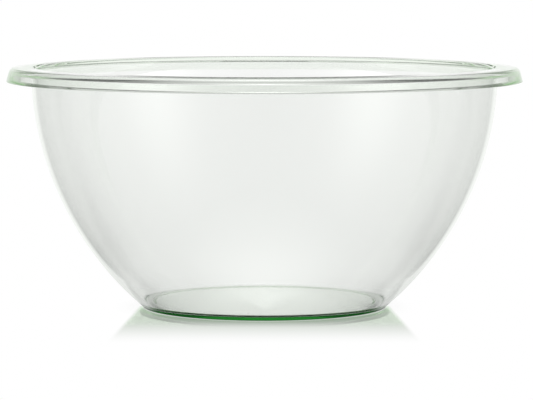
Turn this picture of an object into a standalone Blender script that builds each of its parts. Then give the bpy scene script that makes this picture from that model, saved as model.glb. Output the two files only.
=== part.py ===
# Clear pressed-glass salad bowl with an overhanging lip, turned from one closed profile.
# Units are metres, +Z is up, and the origin is at the middle of the face that the bowl stands on.

from math import atan2, cos, pi, sin, sqrt, tau

import bmesh
import bpy
from mathutils import Vector

# Driving dimensions

BOWL_HEIGHT = 0.1170        # table to the crest of the rim
RIM_RADIUS = 0.1250         # lower edge of the lip, the widest circle
LIP_OVERHANG = 0.0120       # from the outside of the wall, upright at the rim, out to that edge
BASE_RADIUS = 0.0588        # outside of the wall, carried down to the table

WALL_TOP_THICKNESS = 0.00235
WALL_BASE_THICKNESS = 0.0036
FLOOR_THICKNESS = 0.0030    # table to the flat floor inside
FLOOR_CORNER_RADIUS = 0.0040

LIP_DROP = 0.00695          # crest to the sharp lower edge that the mould leaves
LIP_LEAN = 0.0021           # how far the lip's face leans out on its way down
LIP_SHOULDER_RADIUS = 0.0026
RIM_CROWN = 0.0004          # fall of the rim's top from its crest to the shoulder
RIM_INNER_RADIUS = 0.00175  # rounding from the crest into the bowl

BEAD_WIDTH = 0.0065         # level underside of the heavy bead that the lip ends in
BEAD_FLARE = 0.0009         # how far the bead's inner side leans to the wall on its way up
GROOVE_CEILING = 0.0034     # crest to the upper corner of the groove between bead and wall
GROOVE_CORNER_RADIUS = 0.0022
WEB_THICKNESS = 0.00165     # glass left over the groove where it meets the wall
GROOVE_ROOT_RADIUS = 0.0004

FOOT_CORNER_RADIUS = 0.0012
FOOT_RING_WIDTH = 0.0055    # flat ring that the bowl stands on
PUSH_UP = 0.0005            # hollow under the floor, inside that ring
PUSH_UP_SLOPE = 0.0040      # width of the slope from the ring up into the hollow

TURN_STEPS = 96             # facets round the bowl
WALL_STEPS = 10             # facets down each side of the wall
ROUND_STEPS = 4             # facets in each rounded corner

GLASS_COLOUR = (0.92, 0.96, 0.92, 1.0)
GLASS_ROUGHNESS = 0.02
GLASS_INDEX = 1.52


# Profile geometry, in the plane of radius and height

def wall_arc(top_radius, bottom_radius, height):
    """Centre and radius of the arc that stands upright at the rim and meets the table."""
    reach = top_radius - bottom_radius
    arc_radius = (reach ** 2 + height ** 2) / (2 * reach)
    return Vector((top_radius - arc_radius, height)), arc_radius


def radius_at(arc, height):
    """Radius of a wall arc at one height."""
    centre, arc_radius = arc
    return centre.x + sqrt(arc_radius ** 2 - (height - centre.y) ** 2)


def arc_points(arc, start_height, end_height, steps):
    """Points along a wall arc, evenly spaced from one height to another."""
    centre, arc_radius = arc
    start = atan2(start_height - centre.y, radius_at(arc, start_height) - centre.x)
    end = atan2(end_height - centre.y, radius_at(arc, end_height) - centre.x)
    points = []
    for step in range(steps + 1):
        angle = start + (end - start) * step / steps
        points.append(centre + arc_radius * Vector((cos(angle), sin(angle))))
    return points


def rounded(before, corner, after, radius):
    """Arc of the given radius that rounds one corner of the profile."""
    to_before = (before - corner).normalized()
    to_after = (after - corner).normalized()
    half_angle = to_before.angle(to_after) / 2
    centre = corner + (to_before + to_after).normalized() * radius / sin(half_angle)
    setback = radius * cos(half_angle) / sin(half_angle)
    first = corner + to_before * setback - centre
    sweep = pi - 2 * half_angle
    turn = 1 if first.cross(corner + to_after * setback - centre) > 0 else -1
    points = []
    for step in range(ROUND_STEPS + 1):
        angle = turn * sweep * step / ROUND_STEPS
        points.append(centre + Vector((
            first.x * cos(angle) - first.y * sin(angle),
            first.x * sin(angle) + first.y * cos(angle),
        )))
    return points


def bowl_profile():
    """Closed section of the bowl, from the crest down the outside and up again inside."""
    wall_radius = RIM_RADIUS - LIP_OVERHANG
    outside = wall_arc(wall_radius, BASE_RADIUS, BOWL_HEIGHT)
    lean_at_base = 1 - (BOWL_HEIGHT ** 2 / outside[1] ** 2)
    extra = (WALL_BASE_THICKNESS - WALL_TOP_THICKNESS) / (1 - sqrt(lean_at_base))
    inner_arc_radius = outside[1] - WALL_TOP_THICKNESS - extra
    inner_top = wall_radius - WALL_TOP_THICKNESS
    inside = (Vector((inner_top - inner_arc_radius, BOWL_HEIGHT)), inner_arc_radius)

    lip_bottom = BOWL_HEIGHT - LIP_DROP
    crest = Vector((inner_top, BOWL_HEIGHT))
    level_with_crest = Vector((RIM_RADIUS, BOWL_HEIGHT))
    shoulder = Vector((RIM_RADIUS - LIP_LEAN, BOWL_HEIGHT - RIM_CROWN))
    lip_edge = Vector((RIM_RADIUS, lip_bottom))
    bead_edge = Vector((RIM_RADIUS - BEAD_WIDTH, lip_bottom))
    groove_corner = Vector((bead_edge.x - BEAD_FLARE, BOWL_HEIGHT - GROOVE_CEILING))
    root_height = BOWL_HEIGHT - WEB_THICKNESS
    groove_root = Vector((radius_at(outside, root_height), root_height))
    wall_below_root = Vector((radius_at(outside, lip_bottom), lip_bottom))

    foot_corner = Vector((BASE_RADIUS, 0.0))
    wall_above_foot = Vector((radius_at(outside, FOOT_CORNER_RADIUS), FOOT_CORNER_RADIUS))
    ring_inside = Vector((BASE_RADIUS - FOOT_RING_WIDTH, 0.0))
    hollow_edge = Vector((ring_inside.x - PUSH_UP_SLOPE, PUSH_UP))
    floor_corner = Vector((radius_at(inside, FLOOR_THICKNESS), FLOOR_THICKNESS))
    wall_above_floor = Vector((radius_at(inside, FLOOR_THICKNESS + FLOOR_CORNER_RADIUS),
                               FLOOR_THICKNESS + FLOOR_CORNER_RADIUS))
    inner_wall_below_crest = Vector((inner_top, lip_bottom))
    axis_at_floor = Vector((0.0, FLOOR_THICKNESS))
    axis_under_floor = Vector((0.0, PUSH_UP))

    root_fillet = rounded(groove_corner, groove_root, wall_below_root, GROOVE_ROOT_RADIUS)
    foot_round = rounded(wall_above_foot, foot_corner, ring_inside, FOOT_CORNER_RADIUS)
    floor_round = rounded(axis_at_floor, floor_corner, wall_above_floor, FLOOR_CORNER_RADIUS)
    crest_round = rounded(inner_wall_below_crest, crest, level_with_crest, RIM_INNER_RADIUS)

    profile = list(crest_round)
    profile += rounded(crest_round[-1], shoulder, lip_edge, LIP_SHOULDER_RADIUS)
    profile += [lip_edge, bead_edge]
    profile += rounded(bead_edge, groove_corner, groove_root, GROOVE_CORNER_RADIUS)
    profile += root_fillet
    profile += arc_points(outside, root_fillet[-1].y, foot_round[0].y, WALL_STEPS)[1:-1]
    profile += foot_round
    profile += [ring_inside, hollow_edge, axis_under_floor, axis_at_floor]
    profile += floor_round
    profile += arc_points(inside, floor_round[-1].y, crest_round[0].y, WALL_STEPS)[1:-1]
    return profile


# Turned body

def turned_body(name, profile):
    """Closed body made by spinning a section once round the Z axis."""
    mesh = bpy.data.meshes.new(name)
    shape = bmesh.new()
    section = [shape.verts.new((point.x, 0.0, point.y)) for point in profile]
    edges = [shape.edges.new((section[i], section[(i + 1) % len(section)]))
             for i in range(len(section))]
    on_axis = {vert for vert in section if vert.co.x == 0.0}
    for edge in edges:
        if set(edge.verts) <= on_axis:
            shape.edges.remove(edge)
    bmesh.ops.spin(
        shape,
        geom=section + [edge for edge in edges if edge.is_valid],
        cent=(0.0, 0.0, 0.0),
        axis=(0.0, 0.0, 1.0),
        angle=tau,
        steps=TURN_STEPS,
        use_merge=True,
    )
    bmesh.ops.remove_doubles(shape, verts=shape.verts, dist=1e-6)
    bmesh.ops.recalc_face_normals(shape, faces=shape.faces)
    shape.to_mesh(mesh)
    shape.free()
    mesh.shade_smooth()
    mesh.set_sharp_from_angle(angle=pi / 4)
    body = bpy.data.objects.new(name, mesh)
    bpy.context.scene.collection.objects.link(body)
    return body


def clear_glass():
    """Clear soda-lime glass with a faint green cast."""
    material = bpy.data.materials.new("clear_glass")
    material.use_nodes = True
    shader = material.node_tree.nodes["Principled BSDF"]
    shader.inputs["Base Color"].default_value = GLASS_COLOUR
    shader.inputs["Roughness"].default_value = GLASS_ROUGHNESS
    shader.inputs["Metallic"].default_value = 0.0
    shader.inputs["IOR"].default_value = GLASS_INDEX
    shader.inputs["Transmission Weight"].default_value = 1.0
    return material


for leftover in list(bpy.data.objects):
    bpy.data.objects.remove(leftover)

glass_bowl = turned_body("glass_bowl", bowl_profile())
glass_bowl.data.materials.append(clear_glass())
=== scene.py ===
# Looks of the clear glass salad bowl: the turned glass and its finish,
# the studio light, the table and the camera

from math import tau
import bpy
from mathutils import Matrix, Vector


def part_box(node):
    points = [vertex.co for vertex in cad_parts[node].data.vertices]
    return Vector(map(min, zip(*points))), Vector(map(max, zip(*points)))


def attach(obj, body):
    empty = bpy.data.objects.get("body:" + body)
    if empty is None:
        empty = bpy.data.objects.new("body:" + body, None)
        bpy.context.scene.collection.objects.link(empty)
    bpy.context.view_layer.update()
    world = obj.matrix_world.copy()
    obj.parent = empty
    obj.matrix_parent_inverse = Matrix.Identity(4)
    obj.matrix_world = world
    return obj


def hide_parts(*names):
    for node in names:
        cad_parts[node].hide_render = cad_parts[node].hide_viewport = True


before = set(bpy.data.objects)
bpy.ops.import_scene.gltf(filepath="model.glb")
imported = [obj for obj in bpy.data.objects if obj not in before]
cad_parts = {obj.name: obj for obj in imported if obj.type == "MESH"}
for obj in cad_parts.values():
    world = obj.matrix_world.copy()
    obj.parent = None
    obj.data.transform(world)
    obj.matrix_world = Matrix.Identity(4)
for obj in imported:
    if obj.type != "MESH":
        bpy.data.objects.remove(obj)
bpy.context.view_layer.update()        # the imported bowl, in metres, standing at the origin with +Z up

from types import SimpleNamespace

import bmesh
import bpy
from mathutils import Vector

scene = bpy.context.scene
mm = 0.001
weld = 1e-6                                     # metres; points closer than this become one
halfCount = 0.5                                 # tells one whole count of reflections from the next
pureWhite = (1.0, 1.0, 1.0, 1.0)


# Small helpers for placing objects and building node trees

def placeObject(name, data):
    thing = bpy.data.objects.new(name, data)
    scene.collection.objects.link(thing)
    return thing


def newNode(tree, kind, **settings):
    node = tree.nodes.new(kind)
    for name, value in settings.items():
        setattr(node, name, value)
    return node


def plug(value, socket):
    if isinstance(value, Wire):
        socket.id_data.links.new(value.socket, socket)
    else:
        socket.default_value = value


class Wire:                                     # an output socket that can be used in sums
    def __init__(self, socket):
        self.socket = socket

    def calc(self, operation, *others):
        node = newNode(self.socket.id_data, "ShaderNodeMath", operation=operation)
        for value, socket in zip((self, *others), node.inputs):
            plug(value, socket)
        return Wire(node.outputs[0])

    def __add__(self, other):
        return self.calc("ADD", other)

    def __sub__(self, other):
        return self.calc("SUBTRACT", other)

    def __rsub__(self, other):
        return self * -1.0 + other

    def __mul__(self, other):
        return self.calc("MULTIPLY", other)

    def __truediv__(self, other):
        return self.calc("DIVIDE", other)

    def __pow__(self, power):
        return self.calc("POWER", power)


def ramp(value, low, high, start=0.0, end=1.0):
    # eases from start to end as value goes from low to high
    node = newNode(value.socket.id_data, "ShaderNodeMapRange", interpolation_type="SMOOTHSTEP")
    for setting, socket in zip((value, low, high, start, end), node.inputs):
        plug(setting, socket)
    return Wire(node.outputs[0])


def between(first, second, share):
    return share * (second - first) + first


def tinted(share, plain, colour):               # from plain to colour as share goes from 0 to 1
    node = newNode(share.socket.id_data, "ShaderNodeMix", data_type="RGBA")
    first, second = [socket for socket in node.inputs if socket.type == "RGBA"]
    plug(share, node.inputs[0])
    plug(plain, first)
    plug(colour, second)
    return Wire(next(socket for socket in node.outputs if socket.type == "RGBA"))


def axesOf(vector):
    node = newNode(vector.id_data, "ShaderNodeSeparateXYZ")
    node.id_data.links.new(vector, node.inputs[0])
    return [Wire(socket) for socket in node.outputs]


def vectorOf(tree, x, y, z):
    node = newNode(tree, "ShaderNodeCombineXYZ")
    for value, socket in zip((x, y, z), node.inputs):
        plug(value, socket)
    return Wire(node.outputs[0])


# Glass: clear, green where the light has a long way inside it, with a painted glow where light stays
# caught inside it, worn on the ring it stands on

glass = {
    "index": 1.52,
    "bodyColour": (0.355, 0.785, 0.215, 1.0),   # what the glass keeps of white light
    "bodyDepth": 10.0,                          # how strongly, per metre
    "slabColour": (0.0006, 0.030, 0.0016, 1.0),  # light that runs the whole way through the base
    "slabTurns": (7.0, 12.0),                   # after how many inner reflections
    "paintedGlowTurns": 10.0,                        # painted glow, for light that is still caught inside after so many
    "paintedGlowSlab": (0.015, 0.095, 0.025, 1.0),   # colour of that painted glow in the base
    "paintedGlowWall": (0.65, 0.675, 0.64, 1.0),     # and in the wall and the lip
    "paintedGlowWallLevel": (0.005, 0.012),                # metres; where the painted glow turns from the base's colour to the wall's
    "ringWear": 0.35,                           # roughness of the ring that the bowl stands on
    "ringLevel": (0.00012, 0.00018),            # metres
}


def clearGlass():
    material = bpy.data.materials.new("clearGlass")
    material.use_nodes = True
    tree = material.node_tree
    surface = tree.nodes["Principled BSDF"]
    level = axesOf(newNode(tree, "ShaderNodeTexCoord").outputs["Object"])[2]
    leaving = Wire(newNode(tree, "ShaderNodeNewGeometry").outputs["Backfacing"])
    turns = Wire(newNode(tree, "ShaderNodeLightPath").outputs["Glossy Depth"])
    crossed = ramp(turns, *glass["slabTurns"]) * leaving
    plug(tinted(crossed, pureWhite, glass["slabColour"]), surface.inputs["Base Color"])
    # painted glow: inside faces light up once the light has been thrown back that many times
    paintedGlow = turns.calc("COMPARE", glass["paintedGlowTurns"], halfCount) * leaving
    inWall = ramp(level, *glass["paintedGlowWallLevel"])
    paintedGlowColour = tinted(inWall, glass["paintedGlowSlab"], glass["paintedGlowWall"])
    plug(paintedGlow, surface.inputs["Emission Strength"])
    plug(paintedGlowColour, surface.inputs["Emission Color"])
    plug(ramp(level, *glass["ringLevel"], glass["ringWear"], 0.0), surface.inputs["Roughness"])
    surface.inputs["IOR"].default_value = glass["index"]
    surface.inputs["Transmission Weight"].default_value = 1.0
    body = newNode(tree, "ShaderNodeVolumeAbsorption")
    body.inputs["Color"].default_value = glass["bodyColour"]
    body.inputs["Density"].default_value = glass["bodyDepth"]
    tree.links.new(body.outputs[0], tree.nodes["Material Output"].inputs["Volume"])
    return material


# Bowl: a section with rounded corners, turned once round the axis by geometry nodes.
# The lip ends in a heavy bead, and a groove lies between the bead and the wall.

nodeLow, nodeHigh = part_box("glass_bowl")

bowl = {                                        # millimetres; each is an input of the node tree
    "height": (nodeHigh.z - nodeLow.z) / mm,
    "rimRadius": nodeHigh.x / mm,               # lower edge of the lip
    "wallRadius": 113.0,                        # outside of the wall, upright at the rim
    "baseRadius": 58.8,                         # outside of the wall, carried down to the table
    "wallTop": 2.35,                            # wall thickness at the rim
    "wallBase": 2.4,                            # and at the table
    "floorThickness": 3.0,
    "floorRound": 4.0,                          # rounding from the floor into the wall
    "crestRound": 1.75,                         # rounding from the wall into the rim's top
    "crown": 0.4,                               # fall of the rim's top from crest to shoulder
    "crownRound": 4.2,
    "lipDrop": 6.95,                            # crest to the lip's lower edge
    "lipLean": 1.8,                             # how far the lip's face leans out on its way down
    "shoulderRound": 2.8,
    "lipEdgeRound": 0.15,
    "beadWidth": 6.5,                           # level underside of the bead
    "beadTop": 5.3,                             # bead's width at the groove's upper corner
    "beadEdgeRound": 0.4,
    "grooveCeiling": 3.4,                       # crest to the groove's upper corner
    "grooveRound": 2.2,                         # rounding of that corner
    "webThickness": 1.65,                       # glass over the groove where it meets the wall
    "rootRound": 0.4,                           # rounding from the groove into the wall
    "footRound": 1.2,
    "ringWidth": 4.2,                           # flat ring that the bowl stands on
    "pushUp": 0.5,                              # hollow under the floor
    "pushUpSlope": 1.5,                         # width of the slope from the ring into the hollow
    "pushUpRound": 1.5,
}

facets = {                                      # how finely each stretch is cut
    "turn": 288,                                # round the bowl
    "wall": 48,                                 # down each side of the wall
    "shoulder": 24,
    "crest": 14,
    "groove": 12,                               # groove, root and floor corner
    "edge": 10,                                 # lip edge, foot and crown
    "fine": 6,                                  # the smallest roundings
}


def wallArcs(size):                             # centre and radius of the outside and inside arcs
    reach = size.wallRadius - size.baseRadius
    outer = (reach ** 2 + size.height ** 2) / (reach * 2.0)
    lean = (1.0 - (size.height / outer) ** 2).calc("SQRT")
    inner = outer - size.wallTop - (size.wallBase - size.wallTop) / (1.0 - lean)
    return (size.wallRadius - outer, outer), (size.wallRadius - size.wallTop - inner, inner)


def arcStretch(size, arc, upper, lower):
    # the corner whose rounding is the arc between two heights, and the arc's two ends
    centre, arcRadius = arc
    ends = []
    for level in (upper, lower):
        dip = ((size.height - level) / arcRadius).calc("ARCSINE")
        radius = centre + arcRadius * dip.calc("COSINE")
        ends.append(SimpleNamespace(radius=radius, slope=dip.calc("TANGENT"), dip=dip))
    top, bottom = ends
    middle = (top.dip + bottom.dip) * 0.5
    half = (bottom.dip - top.dip) * 0.5
    far = arcRadius / half.calc("COSINE")
    corner = (centre + far * middle.calc("COSINE"), size.height - far * middle.calc("SINE"))
    return corner, top, bottom


def sectionCorners(size):
    clear = 1.1                                 # keeps an arc's ends off the rounding next to it
    lowShare = 0.5                              # the inside arc's end, up the floor's rounding
    bendShare = 0.35                            # where the rim's top starts to fall to the shoulder
    outside, inside = wallArcs(size)

    grooveTop = size.height - size.webThickness
    wallFrom = grooveTop - size.rootRound * clear
    wallTo = size.footRound * clear
    outerCorner, outerUp, outerDown = arcStretch(size, outside, wallFrom, wallTo)
    root = outerUp.radius + (grooveTop - wallFrom) * outerUp.slope
    foot = outerDown.radius - wallTo * outerDown.slope

    insideFrom = size.height - size.crestRound * clear
    insideTo = size.floorThickness + size.floorRound * lowShare
    innerCorner, innerUp, innerDown = arcStretch(size, inside, insideFrom, insideTo)
    crest = innerUp.radius + (size.height - insideFrom) * innerUp.slope
    floorEdge = innerDown.radius - (insideTo - size.floorThickness) * innerDown.slope

    lipBottom = size.height - size.lipDrop
    shoulder = size.rimRadius - size.lipLean
    bend = crest + size.crestRound + (shoulder - crest - size.crestRound) * bendShare
    grooveCorner = (shoulder - size.beadTop, size.height - size.grooveCeiling)
    ringInside = size.baseRadius - size.ringWidth

    # radius, height, rounding and facets, from the axis under the bowl to the axis on its floor
    return [
        (0.0, size.pushUp, 0.0, 1),
        (ringInside - size.pushUpSlope, size.pushUp, size.pushUpRound, facets["fine"]),
        (ringInside, 0.0, size.pushUpRound, facets["fine"]),
        (foot, 0.0, size.footRound, facets["edge"]),
        (*outerCorner, outside[1], facets["wall"]),
        (root, grooveTop, size.rootRound, facets["groove"]),
        (*grooveCorner, size.grooveRound, facets["groove"]),
        (size.rimRadius - size.beadWidth, lipBottom, size.beadEdgeRound, facets["fine"]),
        (size.rimRadius, lipBottom, size.lipEdgeRound, facets["edge"]),
        (shoulder, size.height - size.crown, size.shoulderRound, facets["shoulder"]),
        (bend, size.height, size.crownRound, facets["edge"]),
        (crest, size.height, size.crestRound, facets["crest"]),
        (*innerCorner, inside[1], facets["wall"]),
        (floorEdge, size.floorThickness, size.floorRound, facets["groove"]),
        (0.0, size.floorThickness, 0.0, 1),
    ]


def pick(index, kind, choices):                 # the choice for each point of the section
    node = newNode(index.socket.id_data, "GeometryNodeIndexSwitch", data_type=kind)
    while len(node.index_switch_items) < len(choices):
        node.index_switch_items.new()
    plug(index, node.inputs[0])
    for value, socket in zip(choices, node.inputs[1:]):
        plug(value, socket)
    return Wire(node.outputs[0])


def bowlTree(finish):
    tree = bpy.data.node_groups.new("turnedBowl", "GeometryNodeTree")
    tree.interface.new_socket("Geometry", in_out="OUTPUT", socket_type="NodeSocketGeometry")
    for name in bowl:
        tree.interface.new_socket(name, in_out="INPUT", socket_type="NodeSocketFloat")
    tree.interface.new_socket("turnSteps", in_out="INPUT", socket_type="NodeSocketInt")
    given = newNode(tree, "NodeGroupInput")
    size = SimpleNamespace(**{name: Wire(given.outputs[name]) for name in (*bowl, "turnSteps")})
    index = Wire(newNode(tree, "GeometryNodeInputIndex").outputs[0])

    # the section: a line with a point at each corner, then rounded
    corners = sectionCorners(size)
    line = newNode(tree, "GeometryNodeCurvePrimitiveLine")
    points = newNode(tree, "GeometryNodeResampleCurve", mode="COUNT")
    points.inputs["Count"].default_value = len(corners)
    tree.links.new(line.outputs[0], points.inputs["Curve"])
    placed = newNode(tree, "GeometryNodeSetPosition")
    tree.links.new(points.outputs[0], placed.inputs["Geometry"])
    places = [vectorOf(tree, corner[0], 0.0, corner[1]) for corner in corners]
    plug(pick(index, "VECTOR", places), placed.inputs["Position"])
    section = newNode(tree, "GeometryNodeFilletCurve", mode="POLY")
    tree.links.new(placed.outputs[0], section.inputs["Curve"])
    plug(pick(index, "FLOAT", [corner[2] for corner in corners]), section.inputs["Radius"])
    plug(pick(index, "INT", [corner[3] for corner in corners]), section.inputs["Count"])

    # the turning: a grid with one row for each facet and one more to close the seam
    count = newNode(tree, "GeometryNodeAttributeDomainSize", component="CURVE")
    tree.links.new(section.outputs[0], count.inputs[0])
    alongCount = Wire(count.outputs["Point Count"])
    grid = newNode(tree, "GeometryNodeMeshGrid")
    plug(size.turnSteps + 1.0, grid.inputs["Vertices X"])
    plug(alongCount, grid.inputs["Vertices Y"])
    turn = (index / alongCount).calc("FLOOR")   # which facet, and which point of the section
    along = index - turn * alongCount
    sample = newNode(tree, "GeometryNodeSampleIndex", data_type="FLOAT_VECTOR", domain="POINT")
    tree.links.new(section.outputs[0], sample.inputs["Geometry"])
    plug(Wire(newNode(tree, "GeometryNodeInputPosition").outputs[0]), sample.inputs["Value"])
    plug(along, sample.inputs["Index"])
    radius, level = axesOf(sample.outputs["Value"])[::2]
    reach = radius * mm
    angle = turn / size.turnSteps * tau
    place = vectorOf(tree, reach * angle.calc("COSINE"), reach * angle.calc("SINE"), level * mm)
    turned = newNode(tree, "GeometryNodeSetPosition")
    tree.links.new(grid.outputs["Mesh"], turned.inputs["Geometry"])
    plug(place, turned.inputs["Position"])

    # seam and poles closed, then made plain and given its glass
    shape = turned.outputs[0]
    for kind, settings in (
        ("GeometryNodeMergeByDistance", {"Distance": weld}),
        ("GeometryNodeSetShadeSmooth", {}),
        ("GeometryNodeRealizeInstances", {}),
        ("GeometryNodeSetMaterial", {"Material": finish}),
    ):
        node = newNode(tree, kind)
        for name, value in settings.items():
            node.inputs[name].default_value = value
        tree.links.new(shape, node.inputs[0])
        shape = node.outputs[0]
    result = newNode(tree, "NodeGroupOutput")
    tree.links.new(shape, result.inputs[0])
    return tree


def turnedBowl(finish):
    carrier = placeObject("bowlCarrier", bpy.data.meshes.new("bowlCarrier"))
    tree = bowlTree(finish)
    turning = carrier.modifiers.new("turning", "NODES")
    turning.node_group = tree
    given = {**{name: float(value) for name, value in bowl.items()}, "turnSteps": facets["turn"]}
    for item in tree.interface.items_tree:
        if item.in_out == "INPUT":
            turning[item.identifier] = given[item.name]
    seen = bpy.context.evaluated_depsgraph_get()
    mesh = bpy.data.meshes.new_from_object(carrier.evaluated_get(seen))
    carrier.modifiers.remove(turning)
    bpy.data.objects.remove(carrier)

    shape = bmesh.new()
    shape.from_mesh(mesh)
    bmesh.ops.recalc_face_normals(shape, faces=shape.faces)
    shape.to_mesh(mesh)
    shape.free()
    mesh.name = "glassBowl"
    piece = placeObject("glassBowl", mesh)
    flats = piece.modifiers.new("keepFlats", "WEIGHTED_NORMAL")
    flats.mode = "FACE_AREA"                    # long faces keep their own direction
    return piece


glassBowl = turnedBowl(clearGlass())
bowlMesh = glassBowl.data
print("bowl turned:", len(bowlMesh.vertices), "points,", len(bowlMesh.polygons), "faces")


# Studio: a white sweep behind, a soft box on either side of the camera and a soft light overhead.
# Rays that pass straight through the glass see the white sweep; mirrored ones see the lamps.

studio = {                                      # degrees, turned from the camera; 180 is behind
    "sweepTurn": (106, 176),                    # the sweep grows brighter towards the back
    "sweepRise": (6.5, 15.7),                   # and dims with height
    "sweepLevel": (1.0, 0.707),
    "gapTurn": (168.5, 172.5),                  # dark gap between the sweep and the light above it
    "gapRise": (7.3, 9.3, 13.8, 15.8),
    "slitTurn": (177.0, 178.0),                 # and a narrow one right behind the bowl
    "slitRise": (1.5, 2.2, 4.5, 5.5),
    "flagTurn": (132, 138, 157, 162),           # dim flag on either side of the sweep
    "flagRise": (13.0, 16.0, 23.5, 26.5),
    "flagDepth": 0.6,                           # how much of the light it takes
    "boxTurn": 73,
    "boxSpread": 86.6,
    "boxLevel": 0.85,
    "boxTop": 58.7,
    "coreTurn": 58,                             # the brightest part of each box
    "coreSpread": 30,
    "coreLevel": 0.9,
    "overheadRise": (47.9, 90),
    "overheadTurn": (110, 150),
    "overheadLevel": (0.95, 2.3),
    "fill": 1.1,                                # what matt surfaces get
    "bounces": 24,                              # light crosses many faces in the lip and the base
    "mirrorBounces": 16,
}


def turnOf(x, y):                               # 0 at the camera, 180 behind, alike on both sides
    return x.calc("ABSOLUTE").calc("ARCTAN2", y * -1.0).calc("DEGREES")


def hump(turn, middle, spread):                 # 1 at the middle, easing to 0 at either side
    return ramp((turn - middle).calc("ABSOLUTE"), 0.0, spread, 1.0, 0.0)


def window(value, opens, opened, closes, closed):
    # rises to 1 and falls to 0 again
    return ramp(value, opens, opened) * ramp(value, closes, closed, 1.0, 0.0)


def mirrored(path):                             # 1 for a ray that was thrown back at least once
    return Wire(path.outputs["Glossy Depth"]).calc("GREATER_THAN", halfCount)


def studioWorld():
    world = bpy.data.worlds.new("studio")
    world.use_nodes = True
    tree = world.node_tree
    x, y, z = axesOf(newNode(tree, "ShaderNodeTexCoord").outputs["Generated"])
    turn = turnOf(x, y)
    rise = z.calc("ARCSINE").calc("DEGREES")
    sweep = ramp(turn, *studio["sweepTurn"])
    sweep = sweep * ramp(rise, *studio["sweepRise"], *studio["sweepLevel"])
    boxes = hump(turn, studio["boxTurn"], studio["boxSpread"]) * studio["boxLevel"]
    boxes = boxes + hump(turn, studio["coreTurn"], studio["coreSpread"]) * studio["coreLevel"]
    boxes = boxes * ramp(rise, 0.0, studio["boxTop"], 1.0, 0.0)
    overhead = ramp(rise, *studio["overheadRise"])
    overhead = overhead * ramp(turn, *studio["overheadTurn"], *studio["overheadLevel"])
    lamps = sweep.calc("MAXIMUM", boxes).calc("MAXIMUM", overhead)
    gap = ramp(turn, *studio["gapTurn"]) * window(rise, *studio["gapRise"])
    slit = ramp(turn, *studio["slitTurn"]) * window(rise, *studio["slitRise"])
    flag = window(turn, *studio["flagTurn"]) * window(rise, *studio["flagRise"])
    for dark in (gap, slit, flag * studio["flagDepth"]):
        lamps = lamps * (1.0 - dark)
    path = newNode(tree, "ShaderNodeLightPath")
    level = between(1.0, lamps, mirrored(path))
    level = between(level, studio["fill"], Wire(path.outputs["Is Diffuse Ray"]))
    background = tree.nodes["Background"]
    background.inputs["Color"].default_value = pureWhite
    plug(level, background.inputs["Strength"])
    scene.world = world
    scene.view_settings.view_transform = "Standard"
    scene.cycles.max_bounces = studio["bounces"]
    scene.cycles.transmission_bounces = studio["bounces"]
    scene.cycles.glossy_bounces = studio["mirrorBounces"]


# Table: white and glossy close to the bowl, so that it mirrors the bowl's base, with painted shade,
# painted green and painted brightness close to the bowl

table = {                                       # metres and degrees
    "half": 6.0,
    "gap": 0.0002,                              # keeps the table just clear of the standing ring
    "frontLevel": 0.523,                        # painted brightness that mirrored rays find in front of the bowl
    "frontReach": (0.059, 0.099),
    "sideLevel": 0.668,
    "sideTurn": (55.1, 74.7),
    "farLevel": 0.24,                           # in front and at the sides, further out
    "farReach": (0.057, 0.120),
    "farTurn": (59.5, 158.9),
    "rearLevel": (0.828, 0.971),                # behind the bowl, near and far
    "rearReach": (0.0675, 0.201),
    "rearWidth": 0.0815,                        # half the width of the bright part behind the bowl
    "rearSpread": (17.5, 34.6),                 # and how it widens towards the back
    "under": (0.94, 1.0, 0.93, 1.0),            # painted green, as if light had come through the base
    "underReach": (0.050, 0.058),
    "contactShade": 0.10,                            # painted contact shade under the standing ring
    "contactShadeReach": (0.0583, 0.0605),
    "mattColour": (0.9, 0.9, 0.9, 1.0),
    "shadow": 0.06,                             # share of the bowl's own shadow that shows
    "shadowReach": (0.062, 0.075),
    "shade": (0.617, 0.665, 0.604, 1.0),        # soft shade painted on the table in front of the bowl
    "shadeReach": (0.043, 0.139),
    "shadeWidth": (0.0585, 0.0618),             # half its width beside the bowl
    "shadeSpread": 0.072,                       # and how it widens towards the camera
    "paintedShadeFringe": (0.52, 0.665, 0.50, 1.0),         # close to the base the painted shade is greener
    "paintedFringeReach": (0.059, 0.067),
    "gloss": 1.6,                               # index of the table's lacquer
    "mirror": 0.8,                              # strength of the mirror image
    "mirrorReach": (0.055, 0.085),              # it fades towards the camera
    "mirrorColour": (0.87, 1.0, 0.85, 1.0),     # painted green tint on the mirror image, so that the base's reflection looks greener
    "mirrorBlur": 0.02,
}


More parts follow.
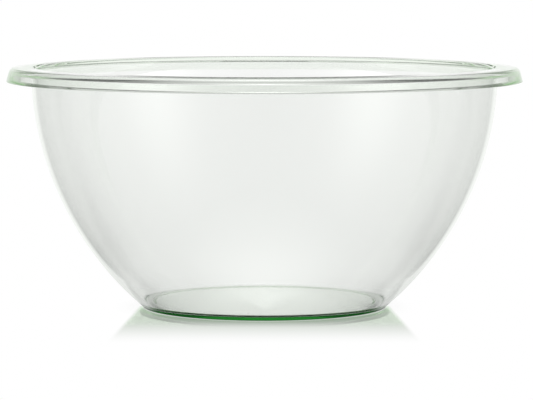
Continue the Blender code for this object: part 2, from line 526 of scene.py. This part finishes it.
def whiteLacquer():
    material = bpy.data.materials.new("whiteLacquer")
    material.use_nodes = True
    tree = material.node_tree
    tree.nodes.clear()
    x, y = axesOf(newNode(tree, "ShaderNodeTexCoord").outputs["Object"])[:2]
    side = x.calc("ABSOLUTE")
    ahead = y * -1.0
    turn = turnOf(x, y)
    far = (x ** 2 + y ** 2).calc("SQRT")
    path = newNode(tree, "ShaderNodeLightPath")
    thrown = mirrored(path)

    # painted brightness that mirrored rays find; the others find white
    lit = ramp(far, *table["frontReach"], 0.0, table["frontLevel"])
    lit = between(lit, table["sideLevel"], ramp(turn, *table["sideTurn"]))
    outer = ramp(far, *table["farReach"]) * ramp(turn, *table["farTurn"], 1.0, 0.0)
    lit = between(lit, table["farLevel"], outer)
    aside = (side - table["rearWidth"]).calc("MAXIMUM", weld)
    spread = aside.calc("ARCTAN2", y).calc("DEGREES")
    rear = ramp(far, *table["rearReach"], *table["rearLevel"])
    lit = between(lit, rear, ramp(spread, *table["rearSpread"], 1.0, 0.0))
    # painted contact shade close to the standing ring
    lit = lit * ramp(far, *table["contactShadeReach"], table["contactShade"], 1.0)
    glow = newNode(tree, "ShaderNodeEmission")
    plug(between(1.0, lit, thrown), glow.inputs["Strength"])

    # painted soft shade in front of the bowl, and painted green under and close to its base
    beside = side - ahead * table["shadeSpread"]
    strip = ramp(beside, *table["shadeWidth"], 1.0, 0.0) * ahead.calc("GREATER_THAN", 0.0)
    shade = strip * ramp(ahead, *table["shadeReach"], 1.0, 0.0)
    shade = shade * ramp(far, *table["contactShadeReach"]) * (1.0 - thrown)
    # painted green on the table under the base
    under = tinted(ramp(far, *table["underReach"]), table["under"], pureWhite)
    shadeColour = tinted(ramp(far, *table["paintedFringeReach"]), table["paintedShadeFringe"], table["shade"])
    plug(tinted(shade, under, shadeColour), glow.inputs["Color"])

    # a little of the true shadow
    matt = newNode(tree, "ShaderNodeBsdfDiffuse")
    matt.inputs["Color"].default_value = table["mattColour"]
    keepsShadow = (1.0 - thrown) * ramp(far, *table["shadowReach"], table["shadow"], 0.0)
    ground = newNode(tree, "ShaderNodeMixShader")
    plug((1.0 - Wire(path.outputs["Is Diffuse Ray"])) * (1.0 - keepsShadow), ground.inputs[0])
    tree.links.new(matt.outputs[0], ground.inputs[1])
    tree.links.new(glow.outputs[0], ground.inputs[2])

    # the mirror image of the base
    shine = newNode(tree, "ShaderNodeBsdfGlossy")
    shine.inputs["Color"].default_value = table["mirrorColour"]
    shine.inputs["Roughness"].default_value = table["mirrorBlur"]
    fresnel = newNode(tree, "ShaderNodeFresnel")
    fresnel.inputs["IOR"].default_value = table["gloss"]
    share = Wire(fresnel.outputs[0]) * table["mirror"]
    share = share * strip * ramp(ahead, *table["mirrorReach"], 1.0, 0.0)
    lacquer = newNode(tree, "ShaderNodeMixShader")
    plug(share * Wire(path.outputs["Is Camera Ray"]), lacquer.inputs[0])
    tree.links.new(ground.outputs[0], lacquer.inputs[1])
    tree.links.new(shine.outputs[0], lacquer.inputs[2])
    result = newNode(tree, "ShaderNodeOutputMaterial")
    tree.links.new(lacquer.outputs[0], result.inputs["Surface"])
    return material


def tableTop():
    half = table["half"]
    corners = [(x * half, y * half, -table["gap"]) for x, y in ((-1, -1), (1, -1), (1, 1), (-1, 1))]
    mesh = bpy.data.meshes.new("tableTop")
    mesh.from_pydata(corners, [], [(0, 1, 2, 3)])
    mesh.materials.append(whiteLacquer())
    top = placeObject("tableTop", mesh)


studioWorld()
tableTop()
print("studio and table ready")


# Camera: a long lens a little above the rim

camera = {                                      # metres
    "lens": 208.46,                             # millimetres on a 36 mm sensor
    "stand": (0.00095, -1.49698, 0.18395),
    "aim": (0.00095, 0.0, 0.051815),
}


def setCamera():
    lens = bpy.data.cameras.new("camera")
    lens.lens = camera["lens"]
    stand = placeObject("camera", lens)
    stand.location = camera["stand"]
    aim = Vector(camera["aim"]) - stand.location
    stand.rotation_euler = aim.to_track_quat("-Z", "Y").to_euler()
    scene.camera = stand


setCamera()
print("camera set")

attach(glassBowl, "root")
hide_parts("glass_bowl")
